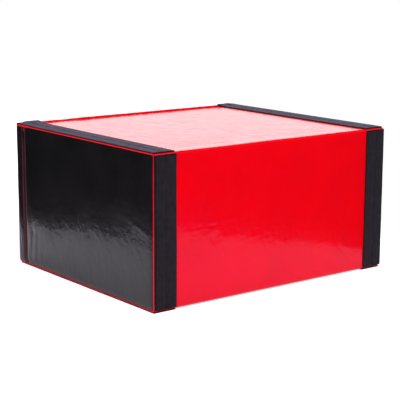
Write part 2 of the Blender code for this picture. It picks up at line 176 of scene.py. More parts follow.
class StageSizes(bpy.types.PropertyGroup):
    lens: number("Lens", "Focal length on a 36 mm wide film", 110.68, min=1.0)
    distance: metres("Distance", "Camera to the block's centre", 5.285)
    azimuth: angle("Azimuth", "Direction of the camera round the block", -37.87)
    elevation: angle("Elevation", "Height of the camera as an angle", 11.31)
    roll: angle("Roll", "Turn about the line of sight", 0.23)
    paper_width: metres("Paper width", "Width of the white paper on the floor", 2.46)
    sky: number("Sky", "Level of the even light from all round", 0.80)
    lamp: number("Lamp", "Power of the large soft lamp", 91.0, unit="POWER")


# Handling pieces


def focus(piece):
    """Selects one object alone and makes it active."""
    bpy.ops.object.select_all(action="DESELECT")
    piece.select_set(True)
    bpy.context.view_layer.objects.active = piece


@contextlib.contextmanager
def editing(piece):
    """Edit mode on one piece, for the lines inside."""
    focus(piece)
    bpy.ops.object.mode_set(mode="EDIT")
    yield
    bpy.ops.object.mode_set(mode="OBJECT")


def add(name, primitive, **settings):
    """Adds a primitive, with nothing else selected."""
    bpy.ops.object.select_all(action="DESELECT")
    primitive(**settings)
    piece = bpy.context.object
    piece.name = piece.data.name = name
    return piece


def set_place(piece, scale, turn=(0.0, 0.0, 0.0), place=(0.0, 0.0, 0.0)):
    """Scales, turns and moves a new piece, all of it in its mesh."""
    adjust(piece, scale=scale, rotation_euler=turn, location=place)
    focus(piece)
    bpy.ops.object.transform_apply(location=True, rotation=True, scale=True)


def add_block(name, low, high):
    """A cube stretched between two corners, ready to be shaped."""
    low, high = Vector(low), Vector(high)
    piece = add(name, bpy.ops.mesh.primitive_cube_add, size=1.0)
    set_place(piece, high - low, place=(low + high) / 2)
    return piece


def adjust(thing, **settings):
    """Sets several properties of one thing."""
    for key, value in settings.items():
        setattr(thing, key, value)


def modify(piece, kind, **settings):
    """Adds a modifier, sets it and applies it."""
    modifier = piece.modifiers.new(kind.lower(), kind)
    adjust(modifier, **settings)
    focus(piece)
    bpy.ops.object.modifier_apply(modifier=modifier.name)


def repeat(piece, step, count):
    """Makes a row of a piece, a step apart."""
    offset = {"use_relative_offset": False, "use_constant_offset": True}
    modify(piece, "ARRAY", constant_offset_displace=step, count=count, **offset)


def pick(piece, kind, test):
    """In edit mode, selects only the edges or faces that pass a test."""
    bpy.ops.mesh.select_mode(type=kind)
    bpy.ops.mesh.select_all(action="DESELECT")
    bm = bmesh.from_edit_mesh(piece.data)
    for part in {"EDGE": bm.edges, "FACE": bm.faces}[kind]:
        if test(part):
            part.select_set(True)
    bmesh.update_edit_mesh(piece.data)


def along(edge, axis):
    """Whether an edge runs along an axis, given by its number."""
    return abs((edge.verts[0].co - edge.verts[1].co).normalized()[axis]) > 0.99


def divide(piece, axis, step, where=lambda place: True):
    """Cuts faces across one axis, evenly, at about the given spacing, in a part of the piece."""
    with editing(piece):
        pick(
            piece,
            "EDGE",
            lambda edge: along(edge, axis)
            and edge.calc_length() > 1.5 * step
            and all(where(vertex.co) for vertex in edge.verts),
        )
        bm = bmesh.from_edit_mesh(piece.data)
        longest = max(edge.calc_length() for edge in bm.edges if edge.select)
        bpy.ops.mesh.subdivide(number_cuts=max(1, round(longest / step) - 1))


def points_of(piece):
    flat = np.empty(len(piece.data.vertices) * 3)
    piece.data.vertices.foreach_get("co", flat)
    return flat.reshape(-1, 3)


def set_points(piece, points):
    piece.data.vertices.foreach_set("co", np.ascontiguousarray(points).ravel())
    piece.data.update()


def rough(points, size, seed):
    """Smooth random values, about -1 to 1, with lumps of a given size in metres."""
    shift = Vector((seed * 3.17, seed * 7.31, seed * 1.93))
    sizes = np.broadcast_to(np.asarray(size, float), 3)
    return np.array([noise.noise(Vector(p) + shift) for p in points / sizes])


def ease(value):
    """0 below 0, 1 above 1, and a smooth turn between them."""
    value = np.clip(value, 0.0, 1.0)
    return value * value * (3 - 2 * value)


def dent(u, v, centre, size, turn=0.0):
    """A round or oval bump of height 1 on a face, given by its place, half sizes and turn."""
    c, s = math.cos(turn), math.sin(turn)
    a = (u - centre[0]) * c + (v - centre[1]) * s
    b = (v - centre[1]) * c - (u - centre[0]) * s
    return np.exp(-((a / size[0]) ** 2) - (b / size[1]) ** 2)


def dents(u, v, table):
    """Several such bumps, each with its height in front."""
    return sum(height * dent(u, v, *shape) for height, *shape in table)


def smooth_shade(piece, degrees):
    focus(piece)
    bpy.ops.object.shade_smooth_by_angle(angle=math.radians(degrees))


def outward(piece):
    """Turns all faces of a piece outwards."""
    with editing(piece):
        bpy.ops.mesh.select_all(action="SELECT")
        bpy.ops.mesh.normals_make_consistent(inside=False)


def finish(piece, kind, slot, *nodes):
    """Gives a piece of the block its material, hides the CAD nodes that it stands for, and hangs it on the
    block's body.
    """
    piece.data.materials.clear()
    piece.data.materials.append(material_of(kind))
    if nodes:
        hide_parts(*nodes)
    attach(piece, "block")


# Materials


def linear(colour):
    """Turns a hex sRGB colour into the linear values that shaders take."""
    parts = [int(colour[k : k + 2], 16) / 255 for k in (1, 3, 5)]
    return tuple(p / 12.92 if p <= 0.04045 else ((p + 0.055) / 1.055) ** 2.4 for p in parts) + (1.0,)


def per_metre(mm):
    """Noise scale whose lumps are about this many millimetres across."""
    return 1000.0 / mm


def waves(mm):
    """Wave scale that repeats each so many millimetres."""
    return 2 * math.pi / 20 * 1000.0 / mm


def wire(tree, node, settings=None, links=None):
    """Sets a node's options and sockets in order, and links outputs to its sockets.

    A node given as the source of a link stands for its first output in use.
    """
    for key, value in (settings or {}).items():
        if isinstance(key, int) or key in node.inputs:
            node.inputs[key].default_value = value
        else:
            setattr(node, key, value)
    for key, source in (links or {}).items():
        if isinstance(source, bpy.types.Node):
            source = next(socket for socket in source.outputs if socket.enabled)
        tree.links.new(source, node.inputs[key])
    return node


def add_node(tree, kind, settings=None, links=None):
    """Adds a shader node with its settings and links."""
    return wire(tree, tree.nodes.new("ShaderNode" + kind), settings, links)


def blank(name):
    """A new material with its node tree, its shader, and the place of each point."""
    material = bpy.data.materials.new(name)
    material.use_nodes = True
    tree = material.node_tree
    place = add_node(tree, "TexCoord").outputs["Object"]
    return material, tree, tree.nodes["Principled BSDF"], place


def coated_fabric(name, colour, worn, gloss, crinkle, tint_of_gloss, coat):
    """PVC-coated polyester, calendered: a smooth glossy film over a woven scrim.

    The film gives a clear reflection that fine crinkles break up, with soft clouds of handling
    marks in it, and the scrim prints through as a faint grid. Its threads lie 1.1 mm apart and
    are drawn at 2.2 mm, which is the finest that shows. The crinkles are this many metres deep.
    """
    material, tree, shader, place = blank(name)
    cloud = add_node(tree, "TexNoise", {"Scale": per_metre(150), "Detail": 4.0}, {"Vector": place})
    tint = add_node(tree, "MapRange", {"From Min": 0.35, "From Max": 0.75}, {"Value": cloud})
    mix = add_node(tree, "Mix", {"data_type": "RGBA", 6: linear(colour), 7: linear(worn)}, {0: tint})
    smudge = add_node(tree, "TexNoise", {"Scale": per_metre(45), "Detail": 6.0}, {"Vector": place})
    spread = {"From Min": 0.3, "From Max": 0.7, "To Min": gloss, "To Max": gloss + 0.06}
    roughness = add_node(tree, "MapRange", spread, {"Value": smudge})
    weave = add_node(tree, "Attribute", {"attribute_name": "weave"}).outputs["Vector"]
    warp, weft = (
        add_node(tree, "TexWave", {"bands_direction": way, "Scale": waves(2.2)}, {"Vector": weave})
        for way in "XY"
    )
    grid = add_node(tree, "Math", {"operation": "ADD"}, {0: warp.outputs["Fac"], 1: weft.outputs["Fac"]})
    scrim = add_node(tree, "Bump", {"Strength": 0.12, "Distance": 0.00003}, {"Height": grid})
    lumps = {"Scale": per_metre(26), "Detail": 3.0, "Roughness": 0.5, "Distortion": 0.15}
    swim = add_node(tree, "TexNoise", lumps, {"Vector": place})
    depth = {"Strength": 1.0, "Distance": crinkle}
    film = add_node(tree, "Bump", depth, {"Height": swim, "Normal": scrim})
    looks = {"IOR": 1.4, "Specular Tint": linear(tint_of_gloss)}
    looks |= {"Coat Weight": coat, "Coat Roughness": 0.4 * gloss, "Coat IOR": 1.3}
    surface = {"Base Color": mix, "Roughness": roughness, "Normal": film, "Coat Normal": film}
    wire(tree, shader, looks, surface)
    return material


def loop_pile(name, colour, light, stretch):
    """Brushed nylon loops on a woven ground: matt, with a soft pale bloom at low angles.

    The brush runs along the tape, so the pile's mottle is drawn out in that direction. Down in
    the pile, at the cut sides and ends and under the seams, the colour is painted black: painted shade.
    """
    material, tree, shader, place = blank(name)
    brushed = add_node(tree, "Mapping", {"Scale": stretch}, {"Vector": place})
    tufts = add_node(tree, "TexNoise", {"Scale": per_metre(2.6), "Detail": 5.0}, {"Vector": brushed})
    patches = add_node(tree, "TexNoise", {"Scale": per_metre(22), "Detail": 3.0}, {"Vector": place})
    both = add_node(tree, "Math", {"operation": "MULTIPLY"}, {0: tufts, 1: patches})
    tint = add_node(tree, "MapRange", {"From Min": 0.14, "From Max": 0.38}, {"Value": both})
    mix = add_node(tree, "Mix", {"data_type": "RGBA", 6: linear(colour), 7: linear(light)}, {0: tint})
    # Painted shade: the pile's level attribute darkens the colour towards black where the pile is low.
    level = add_node(tree, "Attribute", {"attribute_name": "pile_shade_level"}).outputs["Fac"]
    depth = add_node(tree, "MapRange", {"From Min": 0.74, "From Max": 0.94}, {"Value": level})
    shaded = add_node(tree, "Mix", {"data_type": "RGBA", 6: linear("#060607")}, {0: depth, 7: mix})
    loops = add_node(tree, "TexVoronoi", {"feature": "F1", "Scale": per_metre(1.1)}, {"Vector": place})
    relief = {"Strength": 0.8, "Distance": 0.0006, "invert": True}
    bump = add_node(tree, "Bump", relief, {"Height": loops})
    looks = {"Roughness": 0.95, "Specular IOR Level": 0.25}
    looks |= {"Sheen Weight": 0.3, "Sheen Roughness": 0.35, "Sheen Tint": linear("#E4D4F4")}
    wire(tree, shader, looks, {"Base Color": shaded, "Normal": bump})
    return material


def woven_polyester(name, colour, light):
    """Woven polyester zip tape: fine ribs along its length, matt with a little sheen."""
    material, tree, shader, place = blank(name)
    pattern = {"bands_direction": "Y", "Scale": waves(0.9), "Distortion": 0.6, "Detail": 1.0}
    ribs = add_node(tree, "TexWave", pattern, {"Vector": place}).outputs["Fac"]
    picks = add_node(tree, "TexWave", {"bands_direction": "Z", "Scale": waves(0.7)}, {"Vector": place})
    cloth = add_node(tree, "Math", {"operation": "ADD"}, {0: ribs, 1: picks.outputs["Fac"]})
    # The ribs' crests are painted lighter than their hollows: painted light and shade on the weave.
    mix = add_node(tree, "Mix", {"data_type": "RGBA", 6: linear(colour), 7: linear(light)}, {0: ribs})
    bump = add_node(tree, "Bump", {"Strength": 0.6, "Distance": 0.0002}, {"Height": cloth})
    wire(tree, shader, {"Roughness": 0.75, "Sheen Weight": 0.2}, {"Base Color": mix, "Normal": bump})
    return material


def spun_thread(name, colour):
    """Spun polyester sewing thread: a soft twist of plies, half matt."""
    material, tree, shader, place = blank(name)
    plies = {"bands_direction": "DIAGONAL", "Scale": waves(0.5), "Distortion": 1.0}
    twist = add_node(tree, "TexWave", plies, {"Vector": place}).outputs["Fac"]
    bump = add_node(tree, "Bump", {"Strength": 0.7, "Distance": 0.0001}, {"Height": twist})
    wire(tree, shader, {"Base Color": linear(colour), "Roughness": 0.8}, {"Normal": bump})
    return material


def moulded_acetal(name, colour):
    """Injection-moulded acetal: satin, with the faint orange peel of the tool."""
    material, tree, shader, place = blank(name)
    peel = add_node(tree, "TexNoise", {"Scale": per_metre(0.8), "Detail": 3.0}, {"Vector": place})
    spread = {"From Min": 0.3, "From Max": 0.7, "To Min": 0.3, "To Max": 0.48}
    roughness = add_node(tree, "MapRange", spread, {"Value": peel})
    bump = add_node(tree, "Bump", {"Strength": 0.3, "Distance": 0.00005}, {"Height": peel})
    looks = {"Base Color": linear(colour), "IOR": 1.48}
    wire(tree, shader, looks, {"Roughness": roughness, "Normal": bump})
    return material


def die_cast_zinc(name, colour, worn):
    """Tumbled and plated zinc die-casting: gunmetal, brighter where handling has rubbed it."""
    material, tree, shader, place = blank(name)
    cloud = add_node(tree, "TexNoise", {"Scale": per_metre(2.5), "Detail": 5.0}, {"Vector": place})
    tint = add_node(tree, "MapRange", {"From Min": 0.45, "From Max": 0.7}, {"Value": cloud})
    mix = add_node(tree, "Mix", {"data_type": "RGBA", 6: linear(colour), 7: linear(worn)}, {0: tint})
    spread = {"From Min": 0.3, "From Max": 0.7, "To Min": 0.22, "To Max": 0.42}
    roughness = add_node(tree, "MapRange", spread, {"Value": cloud})
    bump = add_node(tree, "Bump", {"Strength": 0.25, "Distance": 0.00006}, {"Height": cloud})
    wire(tree, shader, {"Metallic": 1.0}, {"Base Color": mix, "Roughness": roughness, "Normal": bump})
    return material


def stove_enamel(name, colour, worn):
    """Black stove enamel on a steel pull: glossy, with a few rubbed specks."""
    material, tree, shader, place = blank(name)
    chips = add_node(tree, "TexNoise", {"Scale": per_metre(1.6), "Detail": 6.0}, {"Vector": place})
    tint = add_node(tree, "MapRange", {"From Min": 0.62, "From Max": 0.7}, {"Value": chips})
    mix = add_node(tree, "Mix", {"data_type": "RGBA", 6: linear(colour), 7: linear(worn)}, {0: tint})
    spread = {"From Min": 0.3, "From Max": 0.7, "To Min": 0.25, "To Max": 0.4}
    roughness = add_node(tree, "MapRange", spread, {"Value": chips})
    wire(tree, shader, None, {"Base Color": mix, "Roughness": roughness})
    return material


def open_cell_foam(name, colour, dark):
    """Cut polyurethane foam: matt, with open cells about a millimetre across."""
    material, tree, shader, place = blank(name)
    cells = add_node(tree, "TexVoronoi", {"feature": "F1", "Scale": per_metre(1.3)}, {"Vector": place})
    cloud = add_node(tree, "TexNoise", {"Scale": per_metre(90), "Detail": 4.0}, {"Vector": place})
    # The cells' hollows are painted darker: painted shade; the cloud varies the tone at random.
    shade = add_node(tree, "Math", {"operation": "MULTIPLY"}, {0: cells, 1: cloud})
    mix = add_node(tree, "Mix", {"data_type": "RGBA", 6: linear(dark), 7: linear(colour)}, {0: shade})
    bump = add_node(tree, "Bump", {"Strength": 0.9, "Distance": 0.0008}, {"Height": cells})
    wire(tree, shader, {"Roughness": 0.95}, {"Base Color": mix, "Normal": bump})
    return material


made_materials = {}


def material_of(kind):
    """The block's finishes, each made once."""
    scene = bpy.context.scene
    red, black, pile = scene.block_cover.red, scene.block_cover.black, scene.block_strips.pile
    make, *values = {
        "red": (coated_fabric, "red_coated_fabric", red, "#E0000A", 0.205, 0.0007, "#FF50F0", 0.5),
        "black": (coated_fabric, "black_coated_fabric", black, "#1A191B", 0.205, 0.0008, "#F0F3FF", 0.7),
        # The piping is the red coated fabric with its colour raised to full red: painted light for its
        # thin lines.
        "piping": (coated_fabric, "red_piping_fabric_painted_bright", "#FA0418", "#EC0418", 0.34, 0.0002, "#FF60A0", 0.0),
        # The facings are the red coated fabric in dark red: painted shade beside the zip.
        "facing": (coated_fabric, "red_facing_fabric_painted_shade", "#980A1E", "#7E0A16", 0.36, 0.0002, "#FF60A0", 0.0),
        # The top strips are the same loop tape in lighter colours: painted light from above; only the
        # brush direction really differs.
        "painted_lit_pile": (loop_pile, "loop_pile_lying_painted_lit", "#25222B", "#433E4C", (1, 0.15, 1)),
        "upright_pile": (loop_pile, "loop_pile_upright", pile, "#201D24", (1, 1, 0.06)),
        "thread": (spun_thread, "black_sewing_thread", "#0A0A0C"),
        "zip_tape": (woven_polyester, "black_zip_tape", "#121113", "#1E1D20"),
        "teeth": (moulded_acetal, "black_acetal", "#17161A"),
        "zinc": (die_cast_zinc, "gunmetal_zinc", "#8A8A8E", "#B9B9BC"),
        "enamel": (stove_enamel, "black_enamel", "#121214", "#6B6B6E"),
        "foam": (open_cell_foam, "grey_foam", "#9A9CA0", "#6E7074"),
    }[kind]
    if kind not in made_materials:
        made_materials[kind] = make(*values)
    return made_materials[kind]


# Cover


def swell(piece, held, limit):
    """Lets the foam push a sheet outwards by a short cloth simulation, to a greatest move."""
    rest = points_of(piece)
    group = piece.vertex_groups.new(name="held")
    for index, weight in enumerate(held):
        if weight > 0:
            group.add([index], float(weight), "REPLACE")
    cloth = piece.modifiers.new("cloth", "CLOTH")
    adjust(cloth.settings, quality=4, mass=0.6, shrink_min=-0.002, vertex_group_mass=group.name)
    adjust(cloth.settings, tension_stiffness=20, compression_stiffness=20)
    adjust(cloth.settings, shear_stiffness=10, bending_stiffness=1.5)
    adjust(cloth.settings, use_pressure=True, uniform_pressure_force=4)
    adjust(cloth.settings.effector_weights, gravity=0)
    adjust(cloth.collision_settings, use_collision=False, use_self_collision=False)
    adjust(cloth.point_cache, frame_start=1, frame_end=FRAMES)
    for moment in range(1, FRAMES + 1):
        bpy.context.scene.frame_set(moment)
    focus(piece)
    bpy.ops.object.modifier_apply(modifier=cloth.name)
    bpy.context.scene.frame_set(1)
    move = points_of(piece) - rest
    return rest, move * limit / np.linalg.norm(move, axis=1).max()


def welt(points, cover):
    """Rise of the fabric to the closing seam that stands along the rear top edge."""
    x, y = points[:, 0], points[:, 1]
    reach = cover.welt_reach * (1 + 0.3 * rough(points * (1, 0, 0), 0.045, 3))
    height = cover.welt_height * (1 + 0.14 * rough(points * (1, 0, 0), 0.030, 5))
    height *= 0.85 + 0.15 * ease((x + 0.42) / 0.20)
    crest = REAR_Y - cover.fold
    rise = np.clip((y - crest + reach) / reach, 0, 1) ** 1.2
    past = np.clip((y - crest) / cover.fold, 0, 1)
    return height * rise * np.sqrt(1 - past * past) * ease((BAND_X - np.abs(x)) / 0.012)


def mark_weave(piece, warp, weft):
    """Stores where each point lies in the flat cloth, so that its weave follows the surface."""
    places = np.column_stack((warp, weft, np.zeros(len(warp))))
    weave = piece.data.attributes.new("weave", "FLOAT_VECTOR", "POINT")
    weave.data.foreach_set("vector", places.ravel())


def soften_sheet(piece):
    """Smooths a fabric mesh by one level and keeps its corners."""
    modify(piece, "SUBSURF", levels=1, render_levels=1, boundary_smooth="PRESERVE_CORNERS")


def sew(piece, kind, slot, node):
    """Gives a shaped sheet the thickness of its fabric, inwards, and finishes it."""
    modify(piece, "SOLIDIFY", thickness=bpy.context.scene.block_cover.fabric, offset=-1.0)
    smooth_shade(piece, 50)
    finish(piece, kind, slot, node)


class BLOCK_OT_wrap(bpy.types.Operator):
    """Red wrap round the top, front, base and rear, with its welted closing seam"""

    bl_idname = "block.wrap"
    bl_label = "Cover wrap"

    # Dents of the front: height, place and half sizes in x and z, and turn
    DENTS = (
        (0.0005, (-0.320, 0.290), (0.035, 0.020)),
        (-0.0006, (-0.318, 0.300), (0.015, 0.008)),
        (-0.0005, (0.385, 0.090), (0.045, 0.007), -0.7),
        (0.0004, (0.395, 0.120), (0.045, 0.012), -0.7),
    )

    # Below this height the front's slack lies in fine crinkles as well
    CRINKLED = 0.33

    # Those crinkles: height, size of the lumps, seed, and the depth over which they set in
    CRINKLES = (
        (0.00025, (0.05, 0.05, 0.04), 22, 0.1),
        (0.00026, (0.024, 0.024, 0.016), 24, 0.08),
    )

    def execute(self, context):
        cover = context.scene.block_cover
        wrap = add_block("cover_wrap", (-SEAM_X, FRONT_Y, BASE_Z), (SEAM_X, REAR_Y, TOP_Z))
        with editing(wrap):
            pick(wrap, "FACE", lambda face: abs(face.normal.x) > 0.99)
            bpy.ops.mesh.delete(type="ONLY_FACE")
            pick(wrap, "EDGE", lambda edge: along(edge, 0))
            bpy.ops.mesh.bevel(offset=cover.fold, segments=4, profile=0.5)
        step = cover.mesh_step
        welt_y = REAR_Y - cover.fold - 1.6 * cover.welt_reach
        divide(wrap, 0, step)
        divide(wrap, 1, step, lambda place: place.z > MID_Z)
        divide(wrap, 1, 6 * step, lambda place: place.z < MID_Z)
        divide(wrap, 2, step, lambda place: place.y < 0)
        divide(wrap, 2, 2 * step, lambda place: place.y > 0)
        divide(wrap, 1, step / 4, lambda place: place.z > MID_Z and place.y > welt_y)
        outward(wrap)
        self.push(wrap, cover)
        self.shape(wrap, cover)
        sew(wrap, "red", "red_coated_fabric", "body_wrap")
        return {"FINISHED"}

    def push(self, wrap, cover):
        """Swells the fabric between the strips, smooths it, and cuts the front finer."""
        rest = points_of(wrap)
        rest, move = swell(wrap, self.held(rest, cover.fold), cover.swell)
        for axis, side, level in ((2, 1, TOP_Z), (2, -1, BASE_Z), (1, -1, FRONT_Y), (1, 1, REAR_Y)):
            on = np.abs(rest[:, axis] - level) < TOUCH
            move[on, axis] = side * np.maximum(side * move[on, axis], -GAP)
        move[:, 2] *= np.where(rest[:, 2] > TOP_Z - TOUCH, cover.top_share, 1.0)
        set_points(wrap, rest + move)
        soften_sheet(wrap)
        with editing(wrap):
            pick(
                wrap,
                "FACE",
                lambda face: face.normal.y < -0.9 and abs(face.calc_center_median().x) < BAND_X + 0.01,
            )
            bpy.ops.mesh.subdivide(number_cuts=1)

    def held(self, rest, fold):
        """How firmly each point is held: fast by the strips and on the base, nearly so at the folds."""
        x, y, z = rest.T
        fast = (np.abs(x) > BAND_X - 0.004) | (z < BASE_Z + TOUCH)
        at_fold = (np.abs(y) > REAR_Y - fold + TOUCH) & (
            (z > TOP_Z - fold + TOUCH) | (z < BASE_Z + fold - TOUCH)
        )
        at_edge = (np.abs(np.abs(y) - REAR_Y + fold) < TOUCH) | (np.abs(z - TOP_Z + fold) < TOUCH)
        return np.maximum(fast, 0.9 * (at_fold | at_edge))

    def shape(self, wrap, cover):
        """Adds the welt, the joint of the foam, and the dents and creases of the photograph."""
        points = points_of(wrap)
        x, y, z = points.T.copy()
        free = ease((BAND_X - np.abs(x)) / 0.030)
        points[:, 2] += np.where((z > TOP_Z - cover.fold) & (y > 0), welt(points, cover), 0.0)
        top_face = z > TOP_Z - 0.0008
        behind_fold = ease((y - FRONT_Y - cover.fold) / 0.07)
        points[:, 2] -= np.where(top_face, free * cover.ridge * behind_fold, 0.0)
        points[:, 2] += np.where(top_face, free * 0.0004 * rough(points, 0.16, 11), 0.0)
        inner = free * ease((TOP_Z - z) / 0.05) * ease((z - BASE_Z) / 0.03)
        slack = 0.00055 * rough(points, (0.13, 0.13, 0.09), 21) + dents(x, z, self.DENTS)
        for height, lumps, seed, depth in self.CRINKLES:
            slack += height * rough(points, lumps, seed) * ease((self.CRINKLED - z) / depth)
        slack += 0.0003 * np.sin(x * 150) * dent(x, z, (0.34, 0.52), (0.07, 0.07))
        joint = np.exp(-(((z - MID_Z) / 0.006) ** 2))
        slack -= 0.0002 * joint * (0.5 + 0.5 * rough(points, 0.2, 23))
        points[:, 1] -= np.where(y < FRONT_Y + 0.0008, inner * slack, 0.0)
        rear = inner * 0.0005 * rough(points, 0.14, 31)
        points[:, 1] += np.where(y > REAR_Y - 0.0008, rear, 0.0)
        set_points(wrap, points)
        mark_weave(wrap, x, y + np.where(y < 0, z, 2 * TOP_Z - z))


def end_sheet(name, side, low_y, high_y, step):
    """A flat grid for an end panel, standing in the plane of its end."""
    width = high_y - low_y
    height = SEAM_TOP - SEAM_LOW
    counts = {"x_subdivisions": round(width / step), "y_subdivisions": round(height / step)}
    sheet = add(name, bpy.ops.mesh.primitive_grid_add, size=1.0, **counts)
    turn = (math.pi / 2, 0.0, side * math.pi / 2)
    set_place(sheet, (width, height, 1.0), turn, (side * END_X, (low_y + high_y) / 2, MID_Z))
    return sheet


def edge_distance(points, low_y=-math.inf, high_y=math.inf):
    """Distance of each point of an end panel from its top, base or nearest sewn side."""
    y, z = points[:, 1], points[:, 2]
    return np.min([z - SEAM_LOW, SEAM_TOP - z, y - low_y, high_y - y], axis=0)


def veer(points):
    """Sideways turn of what lies beside the zip's lower end, fading out over 50 mm."""
    away = np.abs(points[:, 1] - ZIP_Y) - 0.015
    fade = ease(1 - np.clip(away, 0, None) / 0.05)
    turn = ease((STOP_TOP - 0.004 - points[:, 2]) / 0.034)
    return -bpy.context.scene.block_zip.veer * turn * fade


def round_corners(points, radius):
    """Pulls a sheet's square corners in to a radius, along with what lies near them."""
    y, z = points[:, 1], points[:, 2] - MID_Z
    out_y = np.clip((np.abs(y) - SEAM_Y + radius) / radius, 0, None)
    out_z = np.clip((np.abs(z) - SEAM_TOP + MID_Z + radius) / radius, 0, None)
    reach = np.maximum(out_y, out_z)
    scale = np.where(reach > 0, reach / np.maximum(np.hypot(out_y, out_z), 1e-9), 1.0)
    points[:, 1] -= np.sign(y) * out_y * (1 - scale) * radius
    points[:, 2] -= np.sign(z) * out_z * (1 - scale) * radius


class BLOCK_OT_end_panels(bpy.types.Operator):
    """Black end panels: the zipped end's large one and narrow border, and the plain end's one"""

    bl_idname = "block.end_panels"
    bl_label = "End panels"

    # Upright folds at the foot of the border: height, place and half sizes in y and z, and turn
    FOLDS = (
        (0.0014, (0.471, 0.122), (0.0035, 0.036), 0.22),
        (0.0012, (0.482, 0.050), (0.0030, 0.022), 0.05),
        (-0.0010, (0.477, 0.055), (0.0030, 0.026), 0.05),
    )

    # How far the border reaches round the far upright edge before its fabric turns in
    TURN = 0.0042

    def execute(self, context):
        cover = context.scene.block_cover
        self.panel("zipped_end_panel", -1, HEM_Y - 0.001, "left_end_panel", cover)
        self.panel("plain_end_panel", 1, SEAM_Y, "right_end_panel", cover)
        self.border("zipped_end_border", "left_end_border", cover)
        return {"FINISHED"}

    def panel(self, name, side, high_y, node, cover):
        zipped = side < 0
        sheet = end_sheet(name, side, -SEAM_Y, high_y, cover.panel_step)
        rest = points_of(sheet)
        move = np.zeros_like(rest)
        held = edge_distance(rest, -SEAM_Y, high_y) < TOUCH
        rest, move = swell(sheet, held.astype(float), cover.swell)
        move[:, 0] = side * np.maximum(side * move[:, 0], -GAP)
        set_points(sheet, rest + move)
        soften_sheet(sheet)
        points = points_of(sheet)
        inside = edge_distance(points, -SEAM_Y, math.inf if zipped else high_y)
        width = cover.margin * (1 + 0.2 * rough(points, 0.11, 41))
        rolled = cover.margin_depth * np.clip(1 - inside / width, 0, 1) ** 3
        if zipped:
            rolled *= 0.35 + 0.65 * ease((np.abs(points[:, 1] - ZIP_Y) - 0.03) / 0.05)
            rolled += 0.0005 * ease((points[:, 1] - high_y + 0.014) / 0.014)
        points[:, 0] += side * (self.slack(points, side, inside) - rolled)
        round_corners(points, cover.fold - SEAM)
        if zipped:
            points[:, 1] += veer(points)
        self.close(sheet, points, node)

    def border(self, name, node, cover):
        """The strip behind the zip, which rolls over the piping of the far upright edge."""
        over_y = REAR_Y - 0.0008
        sheet = end_sheet(name, -1, BORDER_Y, over_y, 0.004)
        soften_sheet(sheet)
        points = points_of(sheet)
        z = points[:, 2].copy()
        inside = edge_distance(points)
        free = ease((inside - 0.001) / 0.008)
        points[:, 1] -= np.clip(points[:, 1] - SEAM_Y, 0, None) * (1 - free)
        y = points[:, 1]
        proud = 0.0013 * free * ease((y - BORDER_Y) / 0.012)
        turn = np.clip((y - over_y + self.TURN) / self.TURN, 0, 1)
        back = self.TURN * (1 - np.sqrt(1 - turn * turn)) * free
        low = 0.3 + 0.7 * ease((0.26 - z) / 0.12)
        ripple = 0.00045 * low * rough(points, (0.06, 0.06, 0.07), 58)
        ripple += 0.00035 * low * rough(points, (0.02, 0.011, 0.09), 59)
        ripple += dents(y, z, self.FOLDS)
        rolled = 0.4 * cover.margin_depth * np.clip(1 - inside / 0.02, 0, 1) ** 2
        points[:, 0] -= proud + free * ripple - back - rolled
        round_corners(points, cover.fold - SEAM)
        points[:, 1] += veer(points)
        self.close(sheet, points, node)

    def close(self, sheet, points, node):
        set_points(sheet, points)
        mark_weave(sheet, points[:, 1], points[:, 2])
        sew(sheet, "black", "black_coated_fabric", node)

    def slack(self, points, side, inside):
        """Lazy waves, and near the zip the upright ripples and the dimple of the photograph."""
        y, z = points[:, 1], points[:, 2]
        free = ease(inside / 0.03)
        out = free * 0.0009 * rough(points, (0.14, 0.14, 0.11), 51 + side)
        out += free * 0.00022 * rough(points, (0.06, 0.05, 0.05), 55 + side)
        if side < 0:
            low = ease((0.22 - z) / 0.10) * ease((z - BASE_Z - 0.01) / 0.03)
            hem = ease((HEM_Y - y) / 0.012)
            ripple = np.sin((y + 0.02 * rough(points, 0.12, 57)) * 2 * math.pi / 0.045)
            out += 0.0005 * ripple * low * ease((y - 0.29) / 0.08) * hem
            out += 0.0010 * dent(y, z, (0.400, 0.110), (0.006, 0.045), 0.04) * hem
            out -= 0.0016 * dent(y, z, (0.376, 0.155), (0.012, 0.016))
            out += 0.0005 * dent(y, z, (-0.405, 0.315), (0.07, 0.012), 0.31) * free
        return out


